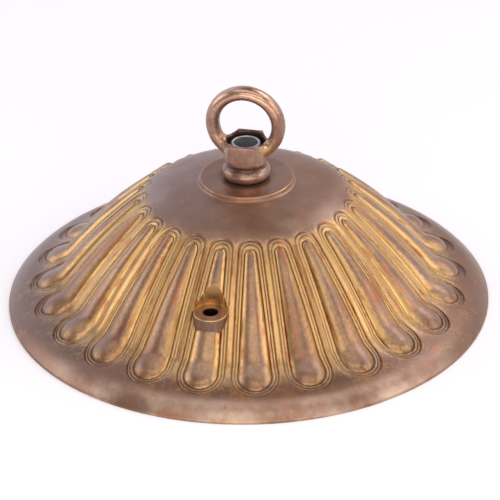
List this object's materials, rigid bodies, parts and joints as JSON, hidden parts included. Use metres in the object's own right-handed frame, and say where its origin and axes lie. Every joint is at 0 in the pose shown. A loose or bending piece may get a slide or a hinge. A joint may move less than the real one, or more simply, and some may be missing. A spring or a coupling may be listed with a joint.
{
  "type": "light fixture ceiling canopy",
  "caption": "Round fluted cast-brass ceiling canopy with a hanging loop on a hollow threaded nipple and two screw bosses for fixing it to a ceiling.",
  "frame": {"origin": "centre of the rim's flat ring, in the plane where the canopy meets the ceiling", "axes": "+Z along the nipple's axis towards the hanging loop, the loop's ring lies in the XZ plane, the screw bosses are at -Y and +Y"},
  "size_m": [0.16, 0.16, 0.0768],
  "materials": {
    "cast_shell": "aged cast brass with brown patina, brighter on the raised ridges",
    "loop_brass": "aged satin brass with a rosy bronze tone",
    "nipple_steel": "plated steel, dull",
    "washer_steel": "plated steel, dull",
    "nut_brass": "plain brass"
  },
  "bodies": {
    "root": {"canopy_shell": "cast_shell", "hanging_loop": "loop_brass", "threaded_nipple": "nipple_steel", "back_washer": "washer_steel", "lock_nut": "nut_brass"}
  },
  "joints": []
}
